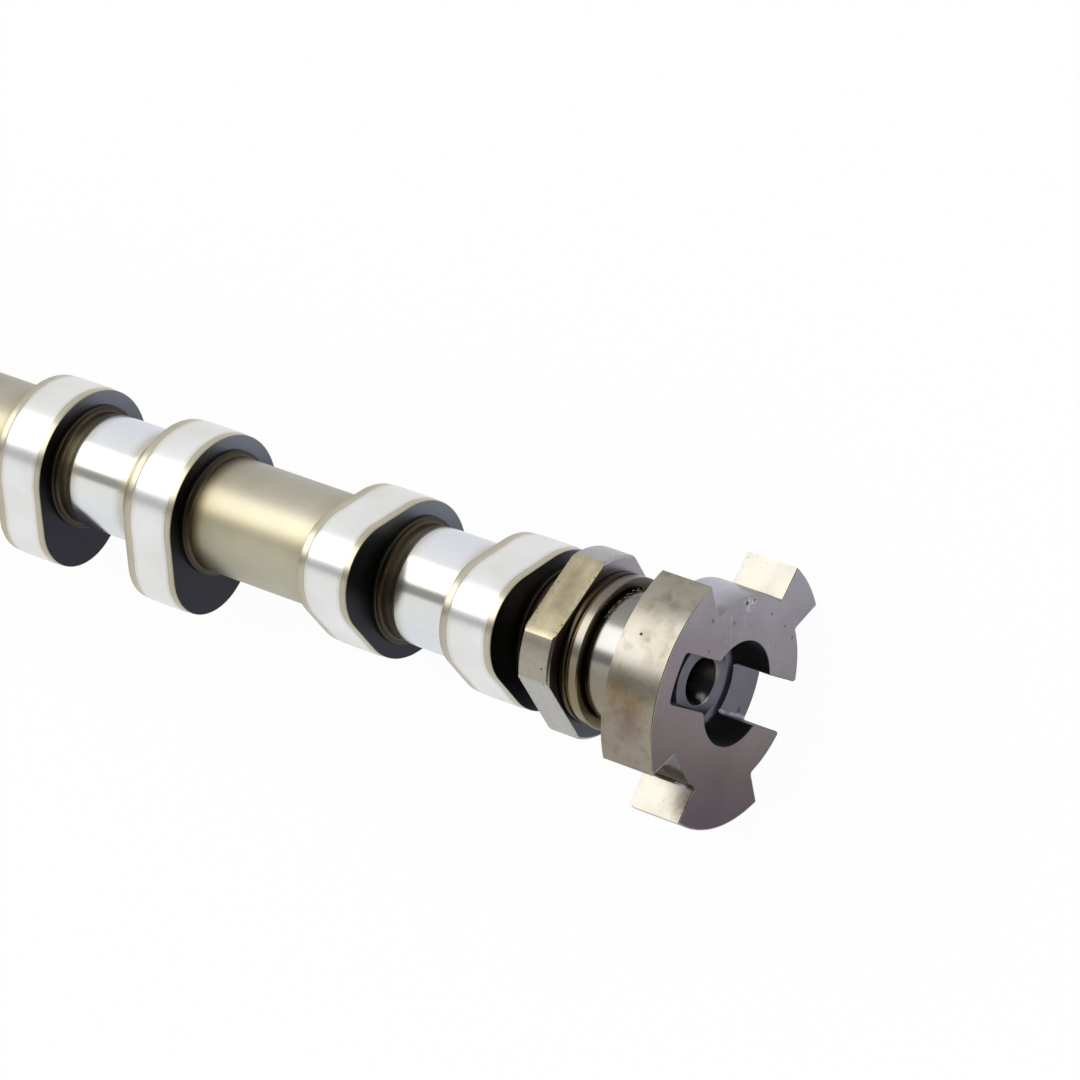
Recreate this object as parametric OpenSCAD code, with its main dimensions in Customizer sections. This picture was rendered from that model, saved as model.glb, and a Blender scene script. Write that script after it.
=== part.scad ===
// Camshaft of a four-cylinder engine: eight lobes in four pairs on one solid shaft, a square
// timing section, and a toothed trigger wheel whose end face holds the slot for a driven pump.
// The shaft lies along X. The origin is on its axis at the front face of the thrust flange:
// the nose points to -X and the trigger wheel to +X. Angles turn about +X, from +Y towards +Z.

/* [Shaft] */
// Spacing of the engine's cylinders along the shaft
cylinder_pitch = 85; // [79:0.5:93]
// Diameter of the plain shaft between the pairs of lobes
shaft_d = 23.8; // [21:0.1:24.4]
// Diameter of the ground bearing journal between the two lobes of a pair
journal_d = 24; // [22.4:0.1:25]
// Depth of the relief turned beside each ground journal
relief_depth = 0.25; // [0.1:0.05:0.6]
// Length of the relief from a lobe's hub to the ground journal
relief_len = 3.6; // [2:0.1:6]
// Diameter of the hub ring that stands on each face of a lobe
hub_d = 26; // [25.2:0.1:28]
// Height of the hub ring over the lobe's face
hub_h = 0.9; // [0.4:0.1:1.5]

/* [Lobes] */
// Distance between the two lobes of a pair, centre to centre
lobe_pitch = 35.5; // [32:0.1:40]
// Width of a lobe
lobe_w = 12.4; // [10:0.1:14]
// Diameter of a lobe's base circle
base_d = 32.5; // [30:0.1:34]
// Height of the nose over the base circle
lift = 5.3; // [3:0.1:7]
// Radius of the nose
nose_r = 11.6; // [8:0.1:13]
// Width of the set-back land along each edge of the ground band
land_w = 2; // [1:0.1:3]
// How far the land is set back from the ground band
land_drop = 0.15; // [0.05:0.05:0.4]
// Angle of the first cylinder's nose
first_nose_angle = -83; // [-180:1:180]
// Order in which the cylinders' noses follow each other, a quarter turn apart
firing_order = [1, 3, 4, 2];

/* [Front end] */
// Diameter of the thrust flange
thrust_d = 36; // [32:0.5:42]
// Thickness of the thrust flange
thrust_w = 4; // [3:0.1:6]
// Length of plain shaft between the thrust flange and the first lobe
front_gap = 6; // [3:0.1:12]
// Diameter of the front bearing journal
front_journal_d = 30; // [28:0.1:31]
// Length of the front bearing journal
front_journal_len = 26; // [20:0.5:34]
// Diameter of the pilot that centres the drive sprocket
pilot_d = 22; // [18:0.1:26]
// Length of the pilot
pilot_len = 10; // [6:0.5:16]
// Bevel on the edges of the front journal and the pilot
nose_bevel = 0.8; // [0.3:0.1:1.2]
// Diameter of the threaded hole's wall for the sprocket bolt
thread_d = 10.8; // [8:0.1:12.4]
// Depth of the threaded hole's wall
thread_depth = 32; // [20:1:40]

/* [Timing square] */
// Distance across the flats of the timing square
square_flats = 31.4; // [29:0.1:33]
// Diameter over the round corners of the timing square
square_d = 36.4; // [35:0.1:39]
// Width of the timing square
square_w = 7.5; // [5:0.1:10]
// Bevel on the round corners of the timing square
square_bevel = 0.45; // [0.1:0.05:0.8]
// Angle of the first flat
square_angle = 62.4; // [0:0.1:90]
// Length of shaft between the last lobe and the timing square
square_gap = 4.4; // [3:0.1:8]

/* [Ring and collar] */
// Diameter of the guide ring beside the timing square
ring_d = 30.3; // [28:0.1:32]
// Width of the guide ring
ring_w = 4.3; // [3.2:0.1:6]
// Width of the fine groove round the guide ring
ring_groove_w = 0.6; // [0.3:0.1:1]
// Depth of the fine groove round the guide ring
ring_groove_depth = 0.5; // [0.2:0.1:0.9]
// Rounding of the guide ring's edges
ring_round = 0.5; // [0.2:0.1:0.8]
// Width of the undercut between the guide ring and the collar
undercut_w = 0.8; // [0.5:0.1:1.5]
// Diameter at the bottom of the undercut
undercut_d = 24.8; // [22:0.1:25]
// Diameter of the collar that carries the trigger wheel
collar_d = 26.2; // [25:0.1:27.5]
// Length of the collar
collar_len = 13.7; // [10:0.1:18]

/* [Trigger wheel] */
// Diameter over the teeth
wheel_d = 53.2; // [50:0.1:60]
// Diameter of the wheel between its teeth
root_d = 38.8; // [37.6:0.1:41]
// Thickness of the wheel
wheel_w = 11.6; // [10.8:0.1:16]
// Bevel round the wheel's edges
wheel_bevel = 0.3; // [0.1:0.1:0.6]
// Start and end angle of the wide tooth
wide_tooth = [48, 134];
// Start and end angle of the narrow tooth
narrow_tooth = [-41, -14.5];
// Start and end angle of the middle tooth
middle_tooth = [168, 225];

/* [Drive slot] */
// Width of the slot that drives the pump
slot_w = 9.9; // [8:0.1:12]
// Depth of the slot
slot_depth = 8.3; // [6:0.1:9]
// Angle towards which the slot runs out of the wheel
slot_angle = -90; // [-100:1:-80]
// Radius of the slot's closed end
slot_end_r = 21.8; // [20.5:0.1:23.5]
// Rounding of the slot's corners at its closed end
slot_end_round = 1; // [0.3:0.1:2]
// Rounding of the four corners where the slot meets the recess
slot_recess_round = 1.1; // [0.3:0.1:1.3]
// Rounding of the two corners where the slot runs out through the rim
slot_mouth_round = 0.7; // [0.3:0.1:1.3]
// Diameter of the round recess in the end face
recess_d = 20.6; // [18:0.1:24]
// Diameter of the boss that stands in the recess
boss_d = 15.6; // [12:0.1:16.5]
// Depth of the ring groove round the boss, below the slot's floor
boss_groove = 1.2; // [0.6:0.1:1.6]
// Rounding of the ring groove's outer corner
boss_groove_round = 1; // [0.3:0.1:1.1]
// Diameter of the machining centre's mouth
centre_d = 9.6; // [8:0.1:11]
// Diameter of the machining centre's pilot hole
centre_pilot_d = 5; // [3:0.1:6]
// Depth of the pilot hole beyond the cone
centre_pilot_len = 7; // [4:0.5:12]

/* [Hidden] */
$fn = 96;

cylinders = len(firing_order);
// Cutters reach this far past what they cut.
over = 1;
// Where a curve runs on into a straight or another curve, the two cross by this much.
blend = 0.001;
lobe_gap = lobe_pitch - lobe_w;
journal_len = lobe_gap - 2 * (hub_h + relief_len);
relief_d = journal_d - 2 * relief_depth;
core_d = min(relief_d, shaft_d);

first_lobe_x = thrust_w + front_gap;
last_lobe_end = first_lobe_x + (cylinders - 1) * cylinder_pitch + lobe_pitch + lobe_w;
square_x = last_lobe_end + square_gap;
ring_x = square_x + square_w;
collar_x = ring_x + ring_w + undercut_w;
wheel_x = collar_x + collar_len;
end_x = wheel_x + wheel_w;
nose_x = -front_journal_len - pilot_len;

// A lobe's outline is its base circle and its nose circle, joined by the two lines that touch both.
nose_offset = base_d / 2 + lift - nose_r;
flank_angle = acos((base_d / 2 - nose_r) / nose_offset);

// The machining centre is a 60 degree cone.
cone_len = (centre_d - centre_pilot_d) / 2 / tan(30);
drill_tip_len = thread_d / 2 * tan(31);

function lobe_x(cylinder, which) = first_lobe_x + (cylinder - 1) * cylinder_pitch + which * lobe_pitch;
function nose_angle(cylinder) = first_nose_angle - 90 * search(cylinder, firing_order)[0];

// A round bar along X from x0, with an optional bevel at each end.
module bar(x0, len, d, bevel_0 = 0, bevel_1 = 0) {
    translate([x0, 0, 0]) rotate([0, 90, 0]) rotate_extrude() polygon([
        [0, 0],
        [d / 2 - bevel_0, 0],
        [d / 2, bevel_0],
        [d / 2, len - bevel_1],
        [d / 2 - bevel_1, len],
        [0, len],
    ]);
}

// A flat outline in the YZ plane, drawn out along X from x0.
module plate(x0, len) {
    translate([x0, 0, 0]) rotate([90, 0, 90]) linear_extrude(len) children();
}

// The outline of a lobe, set back all round.
module lobe_outline(set_back) {
    base = base_d / 2 - set_back;
    nose = nose_r - set_back;
    circle(base);
    translate([nose_offset, 0]) circle(nose);
    polygon([
        (base - blend) * [cos(flank_angle), sin(flank_angle)],
        [nose_offset, 0] + (nose - blend) * [cos(flank_angle), sin(flank_angle)],
        [nose_offset, 0] + (nose - blend) * [cos(flank_angle), -sin(flank_angle)],
        (base - blend) * [cos(flank_angle), -sin(flank_angle)],
    ]);
}

// One lobe with its ground band, a set-back land on each side, and a hub ring on each face.
module lobe(x, angle) {
    rotate([angle, 0, 0]) {
        plate(x, lobe_w) lobe_outline(land_drop);
        plate(x + land_w, lobe_w - 2 * land_w) lobe_outline(0);
    }
    bar(x - hub_h, lobe_w + 2 * hub_h, hub_d);
}

// The two lobes of one cylinder and the ground journal between them.
module lobe_pair(cylinder) {
    for (which = [0, 1]) lobe(lobe_x(cylinder, which), nose_angle(cylinder));
    bar(lobe_x(cylinder, 0) + lobe_w + hub_h + relief_len, journal_len, journal_d);
}

// The plain shaft between one pair of lobes and the next.
module plain_shaft(cylinder) {
    start = lobe_x(cylinder, 1) + lobe_w;
    bar(start, lobe_x(cylinder + 1, 0) - start, shaft_d);
}

// Thrust flange, front journal and sprocket pilot, with the threaded hole for the bolt.
module front_end() {
    difference() {
        union() {
            bar(0, thrust_w, thrust_d, nose_bevel, nose_bevel);
            bar(-front_journal_len, front_journal_len + thrust_w / 2, front_journal_d, nose_bevel);
            bar(nose_x, pilot_len + over, pilot_d, nose_bevel);
        }
        front_bore();
    }
}

module front_bore() {
    translate([nose_x, 0, 0]) rotate([0, 90, 0]) {
        translate([0, 0, -over]) cylinder(h = thread_depth + over, d = thread_d);
        translate([0, 0, thread_depth]) cylinder(h = drill_tip_len, d1 = thread_d, d2 = 0);
    }
}

// A round disc with four flats, for the tool that holds the shaft in time.
module timing_square() {
    intersection() {
        bar(square_x, square_w, square_d, square_bevel, square_bevel);
        plate(square_x - over, square_w + 2 * over)
            rotate(square_angle) square(square_flats, center = true);
    }
}

// Guide ring with rounded edges and a fine groove nearer to the timing square.
module guide_ring() {
    groove_x = ring_w / 3;
    r = ring_d / 2;
    translate([ring_x, 0, 0]) rotate([0, 90, 0]) rotate_extrude() difference() {
        union() {
            square([r - ring_round, ring_w]);
            translate([0, ring_round]) square([r, ring_w - 2 * ring_round]);
            for (y = [ring_round, ring_w - ring_round]) translate([r - ring_round, y]) circle(ring_round);
        }
        translate([r - ring_groove_depth, groove_x]) square([ring_groove_depth + over, ring_groove_w]);
    }
}

// A sector of the plane between two angles, reaching past the wheel.
module sector(angles) {
    reach = wheel_d;
    middle = (angles[0] + angles[1]) / 2;
    polygon([
        [0, 0],
        for (a = [angles[0], middle, angles[1]]) reach * [cos(a), sin(a)],
    ]);
}

// The sliver that rounds, by e, the corner between the slot's side and a circle of radius r. The
// rounding's centre is outside the circle if that bounds a hole, and inside if it bounds the wheel.
module rounded_corner(r, e, hole) {
    centre_r = hole ? r + e : r - e;
    y = slot_w / 2 + e;
    x = sqrt(centre_r * centre_r - y * y);
    corner_x = sqrt(r * r - slot_w * slot_w / 4);
    touch = r / centre_r * [x, y];
    beyond = hole ? [corner_x - e, slot_w / 2] : [corner_x + e, slot_w / 2];
    difference() {
        polygon([[x, slot_w / 2], beyond, touch, [x, y]]);
        translate([x, y]) circle(e + blend);
    }
}

// The closed end of the slot: an arc round the shaft's axis, with a round corner on each side.
module slot_end() {
    e = slot_end_round;
    y = slot_w / 2 - e;
    centre_r = slot_end_r - e;
    x = sqrt(centre_r * centre_r - y * y);
    for (side = [-1, 1]) translate([-x, side * y]) circle(e + blend);
    translate([-x, -slot_w / 2]) square([x, slot_w]);
    intersection() {
        circle(slot_end_r);
        polygon([[0, 0], slot_end_r * [-x, y] / y, slot_end_r * [-x, -y] / y]);
    }
}

// The slot seen along the shaft: out through the rim one way, closed the other way.
module slot_outline() {
    rotate(slot_angle) {
        translate([0, -slot_w / 2]) square([wheel_d, slot_w]);
        slot_end();
        for (side = [0, 1]) mirror([0, side, 0]) {
            rounded_corner(root_d / 2, slot_mouth_round, false);
            for (way = [0, 1]) mirror([way, 0, 0]) rounded_corner(recess_d / 2, slot_recess_round, true);
        }
    }
}

// The trigger wheel's body and teeth before the drive slot is cut.
module wheel_blank() {
    bar(wheel_x, wheel_w, root_d, wheel_bevel, wheel_bevel);
    intersection() {
        bar(wheel_x, wheel_w, wheel_d, wheel_bevel, wheel_bevel);
        plate(wheel_x - over, wheel_w + 2 * over)
            for (tooth = [wide_tooth, narrow_tooth, middle_tooth]) sector(tooth);
    }
}

// The ring groove round the boss, with its outer corner rounded.
module boss_ring_groove(floor_x) {
    e = boss_groove_round;
    translate([floor_x, 0, 0]) rotate([0, 90, 0]) rotate_extrude() {
        translate([boss_d / 2, -boss_groove]) square([recess_d / 2 - e - boss_d / 2, boss_groove + over]);
        translate([boss_d / 2, e - boss_groove]) square([(recess_d - boss_d) / 2, boss_groove - e + over]);
        translate([recess_d / 2 - e, e - boss_groove]) circle(e);
    }
}

// Everything cut into the end face: slot, recess with its boss, and the machining centre.
module end_face_cuts() {
    floor_x = end_x - slot_depth;
    plate(floor_x, slot_depth + over) slot_outline();
    bar(floor_x, slot_depth + over, recess_d);
    boss_ring_groove(floor_x);
    translate([floor_x, 0, 0]) rotate([0, -90, 0]) {
        cylinder(h = cone_len, d1 = centre_d, d2 = centre_pilot_d);
        cylinder(h = cone_len + centre_pilot_len, d = centre_pilot_d);
    }
}

module trigger_wheel() {
    difference() {
        wheel_blank();
        end_face_cuts();
    }
}

module camshaft() color("#9c9689") {
    front_end();
    bar(thrust_w / 2, wheel_x + over - thrust_w / 2, core_d);
    for (cylinder = [1 : cylinders]) lobe_pair(cylinder);
    for (cylinder = [1 : cylinders - 1]) plain_shaft(cylinder);
    bar(thrust_w / 2, front_gap + thrust_w / 2, shaft_d);
    bar(last_lobe_end, square_gap, shaft_d);
    timing_square();
    guide_ring();
    bar(ring_x, ring_w + undercut_w, undercut_d);
    bar(collar_x, collar_len, collar_d);
    trigger_wheel();
}

camshaft();
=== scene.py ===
"""Looks for the camshaft: the CAD solid is shown by finely made surfaces with their real finishes.

Shapes are in millimetres in the CAD model's frame and become metres when a mesh is made. x runs
along the shaft, r is the distance from its axis, and angles turn about it from +y towards +z.
"""

import math

import bmesh
import bpy
import numpy as np
from mathutils import Matrix, Vector


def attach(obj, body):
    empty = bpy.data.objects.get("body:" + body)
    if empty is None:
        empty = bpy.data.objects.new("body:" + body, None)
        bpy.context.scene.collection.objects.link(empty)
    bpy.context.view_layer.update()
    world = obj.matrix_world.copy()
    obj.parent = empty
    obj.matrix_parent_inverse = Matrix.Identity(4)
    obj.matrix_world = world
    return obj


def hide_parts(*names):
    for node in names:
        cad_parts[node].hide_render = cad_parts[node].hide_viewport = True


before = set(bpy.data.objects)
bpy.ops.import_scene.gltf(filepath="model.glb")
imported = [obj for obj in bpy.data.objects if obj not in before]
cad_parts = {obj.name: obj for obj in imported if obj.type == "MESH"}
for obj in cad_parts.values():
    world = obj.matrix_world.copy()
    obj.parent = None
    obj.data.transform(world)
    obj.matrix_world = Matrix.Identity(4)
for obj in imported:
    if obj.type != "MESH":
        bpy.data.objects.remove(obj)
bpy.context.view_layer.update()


# FRONT END: the sprocket pilot with its threaded hole, the front journal and the thrust flange.
# It is turned and ground in one setting on the same casting as everything else. The photograph
# cuts it off, so it is finished plainly.
MM = 0.001
NOSE_X, SEAT_X, FLANGE_BACK = -36.0, -26.0, 4.0
PILOT_R, FRONT_JOURNAL_R, FLANGE_R, BEVEL = 11.0, 15.0, 18.0, 0.8
NECK_R, NECK_END_X = 11.7, 5.8  # it runs on inside the shaft, under its surface
THREAD_PITCH, THREAD_MINOR_R, THREAD_MAJOR_R, THREAD_END_X = 1.75, 5.1, 6.0, -6.0
HOLE_END_X, HOLE_TIP_X, HOLE_MOUTH = -4.0, -0.76, 0.9
BORE_ROWS, COLUMNS = 170, 192


def linear(code):
    """The linear colour of an sRGB hex value."""
    srgb = np.array([int(code[i : i + 2], 16) for i in (1, 3, 5)]) / 255
    low, high = srgb / 12.92, ((srgb + 0.055) / 1.055) ** 2.4
    return (*np.where(srgb <= 0.04045, low, high), 1.0)


def add(tree, kind, values=None, stops=(), **settings):
    """Adds a shader node of a kind, or takes one that is there. Values fill its inputs with numbers,
    sRGB hex colours, outputs, or nodes, which give their first output; stops are the places and
    sRGB hex colours of a ramp, in order; settings are the node's own."""
    node = kind if isinstance(kind, bpy.types.Node) else tree.nodes.new("ShaderNode" + kind)
    for key, value in settings.items():
        setattr(node, key, value)
    for key, value in (values or {}).items():
        if isinstance(value, bpy.types.Node):
            value = next(output for output in value.outputs if output.enabled)
        if isinstance(value, bpy.types.NodeSocket):
            tree.links.new(value, node.inputs[key])
        else:
            node.inputs[key].default_value = linear(value) if isinstance(value, str) else value
    for i, (place, colour) in enumerate(stops):
        element = node.color_ramp.elements[i] if i < 2 else node.color_ramp.elements.new(place)
        element.position, element.color = place, linear(colour)
    return node


def rounded(corners, steps=5):
    """Runs a profile through its corners, each replaced by an arc that touches both sides. A corner
    is x, r, the arc's radius, and any values that go with it. The arc's centre is on the line that
    halves the corner, and its points turn evenly from one touching point to the other."""
    c = np.asarray(corners, float)
    p, e = c[1:-1, :2], c[1:-1, 2:3]
    back, ahead = c[:-2, :2] - p, c[2:, :2] - p
    back /= np.linalg.norm(back, axis=1, keepdims=True)
    ahead /= np.linalg.norm(ahead, axis=1, keepdims=True)
    turn = np.pi - np.arccos(np.clip((back * ahead).sum(1, keepdims=True), -1, 1))
    bends = (turn > 1e-3) & (e > 0)
    turn = np.where(bends, turn, 1.0)
    reach = np.where(bends, e, 0) * np.tan(turn / 2)
    a, b = p + back * reach, p + ahead * reach
    centre = p + (back + ahead) * np.where(bends, e, 0) / (2 * np.cos(turn / 2) ** 2)
    s = np.linspace(0, 1, steps)[None, :, None]
    t = turn[:, None]
    swing = np.sin((1 - s) * t) * (a - centre)[:, None] + np.sin(s * t) * (b - centre)[:, None]
    arc = centre[:, None] + swing / np.sin(t)
    points = np.concatenate([c[:1, :2], arc.reshape(-1, 2), c[-1:, :2]])
    carried = np.concatenate([c[:1, 3:], np.repeat(c[1:-1, 3:], steps, axis=0), c[-1:, 3:]])
    keep = np.r_[True, np.linalg.norm(np.diff(points, axis=0), axis=1) > 1e-5]
    return np.hstack([points, carried])[keep]


def placed(name, data):
    """A new object in the scene that holds the data."""
    made = bpy.data.objects.new(name, data)
    bpy.context.scene.collection.objects.link(made)
    return made


def piece(name, points, faces, values, materials, face_material=None, sharp=35.0):
    """A closed mesh from points in millimetres and faces, its doubles merged and its faces turned
    outwards, with named values on its points. It is smooth but for its caps and sharp edges, and
    rides on the only body in place of the solid."""
    mesh = bpy.data.meshes.new(name)
    mesh.from_pydata(points * MM, [], faces)
    for key, value in values.items():
        attribute = mesh.attributes.new(key, "FLOAT", "POINT")
        attribute.data.foreach_set("value", np.asarray(value, np.float32).ravel())
    for material in materials:
        mesh.materials.append(material)
    if face_material is not None:
        mesh.polygons.foreach_set("material_index", np.asarray(face_material, np.int32))
    work = bmesh.new()
    work.from_mesh(mesh)
    bmesh.ops.remove_doubles(work, verts=work.verts, dist=1e-7)
    bmesh.ops.recalc_face_normals(work, faces=work.faces)
    work.to_mesh(mesh)
    work.free()
    mesh.shade_smooth()
    mesh.set_sharp_from_angle(angle=math.radians(sharp))
    corners = np.empty(len(mesh.polygons), np.int32)
    mesh.polygons.foreach_get("loop_total", corners)
    mesh.polygons.foreach_set("use_smooth", corners <= 4)
    made = placed(name, mesh)
    made.modifiers.new("Even shading", "WEIGHTED_NORMAL").keep_sharp = True
    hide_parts("camshaft")
    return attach(made, "root")


def grid_faces(rows, columns, closed=True):
    """The quads of a grid of points numbered row by row, its columns joined into a ring if closed."""
    i = columns * np.arange(rows - 1)[:, None]
    j = np.arange(columns if closed else columns - 1)[None]
    right = (j + 1) % columns
    return np.stack([i + j, i + right, i + columns + right, i + columns + j], -1).reshape(-1, 4)


def spun(x, r, angles):
    """Points row by row: a row's x and r go to (x, r cos a, r sin a) for every angle a."""
    return np.stack([x + 0 * angles, r * np.cos(angles), r * np.sin(angles)], -1).reshape(-1, 3)


def turned(name, profile, iron, wave=0.0):
    """A surface of revolution: the profile, with wave added to its r, spun through all columns. Its
    ends lie on the axis, where the columns meet. Its points carry ground, and stain with painted shade."""
    angles = np.linspace(0, 2 * np.pi, COLUMNS, endpoint=False)[None]
    points = spun(profile[:, :1], profile[:, 1:2] + wave, angles)
    values = {"ground": np.repeat(profile[:, 2], COLUMNS), "stain_and_painted_shade": np.repeat(profile[:, 3], COLUMNS)}
    return piece(name, points, grid_faces(len(profile), COLUMNS), values, [iron])


def metal(name, roughness=0.3):
    """A new metal material: itself, its node tree, its shader and its Object coordinates."""
    material = bpy.data.materials.new(name)
    material.use_nodes = True
    tree = material.node_tree
    shader = add(tree, tree.nodes["Principled BSDF"], {"Metallic": 1.0, "Roughness": roughness})
    return material, tree, shader, add(tree, "TexCoord").outputs["Object"]


OVER = {"data_type": "RGBA"}
TINT = {**OVER, "blend_type": "MULTIPLY"}


def graded(tree, place, axis, start, stop, stops):
    """Colours that follow one another along an axis, from start to stop in millimetres."""
    along = add(tree, "SeparateXYZ", {0: place}).outputs[axis]
    ends = {"From Min": start * MM, "From Max": stop * MM}
    along = add(tree, "MapRange", {"Value": along, **ends})
    return add(tree, "ValToRGB", {"Fac": along}, stops)


def turned_finish(name, satin, bright, satin_rough, bright_rough, sides):
    """A lathe finish that goes from satin to bright with the attribute ground, and through brown to
    black with the attribute that holds stain and painted shade. Sides are the stops of a painted
    light and shade along y, from y = -14 to 16 mm."""
    material, tree, shader, place = metal(name)
    ground = add(tree, "Attribute", attribute_name="ground").outputs["Fac"]
    stain_and_painted_shade = add(tree, "Attribute", attribute_name="stain_and_painted_shade").outputs["Fac"]
    cloud = add(tree, "TexNoise", {"Vector": place, "Scale": 60.0, "Detail": 5.0})
    satin = add(tree, "ValToRGB", {"Fac": cloud}, satin)
    bright = add(tree, "ValToRGB", {"Fac": cloud}, bright)
    finish = add(tree, "Mix", {"Factor": ground, "A": satin, "B": bright}, **OVER)
    # Painted light and shade: the finish is tinted along y, lightest where the highlight falls.
    painted_light = graded(tree, place, "Y", -14, 16, sides)
    finish = add(tree, "Mix", {"Factor": 1.0, "A": finish, "B": painted_light}, **TINT)
    # The stain and painted shade are smoky, and drawn out round the shaft.
    smoke = add(tree, "Mapping", {"Vector": place, "Scale": (420, 160, 160)})
    smoke = add(tree, "TexNoise", {"Vector": smoke, "Scale": 1.0, "Detail": 4.0})
    smoke = add(tree, "MapRange",
                {"Value": smoke, "From Min": 0.3, "From Max": 0.7, "To Min": 0.8, "To Max": 1.15})
    smoke = add(tree, "Math", {0: stain_and_painted_shade, 1: smoke}, operation="MULTIPLY", use_clamp=True)
    # Brown stain, and painted shade from brown to black by the hubs, in grooves and in holes.
    stain_and_shade_tint = add(tree, "ValToRGB", {"Fac": smoke}, [
        (0.0, "#FFFFFF"), (0.12, "#EDE8DC"), (0.35, "#B9AF97"),
        (0.62, "#857A6E"), (0.85, "#6E655E"), (1.0, "#625D59")])
    colour = add(tree, "Mix", {"Factor": 1.0, "A": finish, "B": stain_and_shade_tint}, **TINT)
    rough = add(tree, "MapRange", {"Value": ground, "To Min": satin_rough, "To Max": bright_rough})
    # Turning marks run round the shaft, about 0.2 mm apart.
    marks = add(tree, "Mapping", {"Vector": place, "Scale": (5000, 30, 30)})
    marks = add(tree, "TexNoise", {"Vector": marks, "Scale": 1.0, "Detail": 3.0})
    bump = add(tree, "Bump", {"Height": marks, "Strength": 0.25, "Distance": 0.00002})
    add(tree, shader, {"Base Color": colour, "Roughness": rough, "Normal": bump})
    return material


# Turned and ground chilled iron. Ground lengths are a bright cool grey and mirror the room softly;
# turned lengths are a satin beige; both run into brown where the cutter stopped short, and into
# painted shade, brown to black, by the hubs, in grooves and in holes. Painted light tints them along y.
turned_iron = turned_finish(
    "turned_and_ground_chilled_iron",
    satin=[(0.25, "#ADA693"), (0.75, "#C0BBA7")], bright=[(0.25, "#DDDEE1"), (0.75, "#E4E5E6")],
    satin_rough=0.40, bright_rough=0.16,
    sides=[(0.0, "#F0F5FB"), (0.25, "#F6F9F8"), (0.45, "#FFFCF0"), (0.62, "#FFFFFF"), (0.86, "#EEF1FA")])

# Rows of a profile: x, r, radius of the corner, how far it is ground, and how far stained and in painted
# shade.
bore = np.zeros((BORE_ROWS, 5))
bore[:, 0] = np.linspace(THREAD_END_X, NOSE_X + HOLE_MOUTH, BORE_ROWS)
bore[:, 1], bore[:, 4] = THREAD_MINOR_R, 0.55
front = rounded(np.vstack([
    [[HOLE_TIP_X, 0, 0, 0, 0.7], [HOLE_END_X, THREAD_MINOR_R, 0.1, 0, 0.7]],
    bore,
    [
        [NOSE_X, THREAD_MAJOR_R, 0.1, 0, 0.2],
        [NOSE_X, PILOT_R - BEVEL, 0.15, 0, 0.1],
        [NOSE_X + BEVEL, PILOT_R, 0.2, 1, 0],
        [SEAT_X, PILOT_R, 0.4, 1, 0.2],
        [SEAT_X, FRONT_JOURNAL_R - BEVEL, 0.15, 1, 0],
        [SEAT_X + BEVEL, FRONT_JOURNAL_R, 0.2, 1, 0],
        [-3.0, FRONT_JOURNAL_R, 0, 1, 0],
        [0.0, FRONT_JOURNAL_R, 0.4, 1, 0.4],
        [0.0, FLANGE_R - BEVEL, 0.15, 1, 0],
        [BEVEL, FLANGE_R, 0.15, 0.6, 0],
        [FLANGE_BACK - BEVEL, FLANGE_R, 0.15, 0.6, 0],
        [FLANGE_BACK, FLANGE_R - BEVEL, 0.15, 1, 0],
        [FLANGE_BACK, 13.5, 0, 0, 0.6],
        [FLANGE_BACK, NECK_R, 0.9, 0, 0.9],
        [NECK_END_X, NECK_R, 0, 0, 0.6],
        [NECK_END_X, 0, 0, 0, 0],
    ],
]))
# The thread is a groove that climbs one pitch a turn, with even flanks, and dies out inside.
front_x, front_r = front[:, :1], front[:, 1:2]
turn_share = np.linspace(0, 1, COLUMNS, endpoint=False)[None]
phase = (front_x / THREAD_PITCH + turn_share) % 1
in_bore = (front_r < THREAD_MINOR_R + 0.01) & (front_x < THREAD_END_X) & (front_x > NOSE_X + 0.5)
fade = np.clip((THREAD_END_X - front_x) / THREAD_PITCH, 0, 1)
groove = in_bore * fade * (THREAD_MAJOR_R - THREAD_MINOR_R) * (1 - np.abs(2 * phase - 1))
turned("front_end", front, turned_iron, groove)


# SHAFT: the plain turned lengths, the eight pairs of hub rings that stand on the lobes' faces, and
# the four ground bearing journals with the relief that the wheel ran out into.
FIRST_LOBE_X, CYLINDER_PITCH, LOBE_PITCH, LOBE_W, CYLINDERS = 10.0, 85.0, 35.5, 12.4, 4
PLAIN_R, JOURNAL_R, RELIEF_R, HUB_R, HUB_H, RELIEF_LEN = 11.9, 12.0, 11.75, 13.0, 0.9, 3.6
SQUARE_X, OVERLAP = 317.3, 2.0  # the shaft's ends reach this far into the flange and the square
hub_end = LOBE_W + HUB_H
# Rows as above, x counted from the first lobe's face.
half_pair = np.array([
    [-9.0, PLAIN_R, 0, 0, 0],
    [-4.5, PLAIN_R, 0, 0, 0.06],
    [-2.2, PLAIN_R, 0, 0, 0.3],
    [-HUB_H, PLAIN_R, 0.7, 0, 0.8],
    [-HUB_H, HUB_R, 0.4, 0, 1],
    [hub_end, HUB_R, 0.4, 0, 1],
    [hub_end, RELIEF_R, 0.6, 0, 0.85],
    [hub_end + 1.6, RELIEF_R, 0, 0.1, 0.6],
    [hub_end + RELIEF_LEN - 0.9, RELIEF_R, 2.5, 0.3, 0.3],
    [hub_end + RELIEF_LEN, JOURNAL_R, 2.5, 0.6, 0.09],
    [hub_end + RELIEF_LEN + 1.8, JOURNAL_R, 0, 0.9, 0.02],
    [hub_end + RELIEF_LEN + 3.0, JOURNAL_R, 0, 1, 0],
])
other_half = half_pair[::-1] * [-1, 1, 1, 1, 1] + [LOBE_PITCH + LOBE_W, 0, 0, 0, 0]
pair = np.vstack([half_pair, other_half])
starts = FIRST_LOBE_X + CYLINDER_PITCH * np.arange(CYLINDERS)
pairs = (pair[None] + starts[:, None, None] * [1, 0, 0, 0, 0]).reshape(-1, 5)[1:-1]
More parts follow.
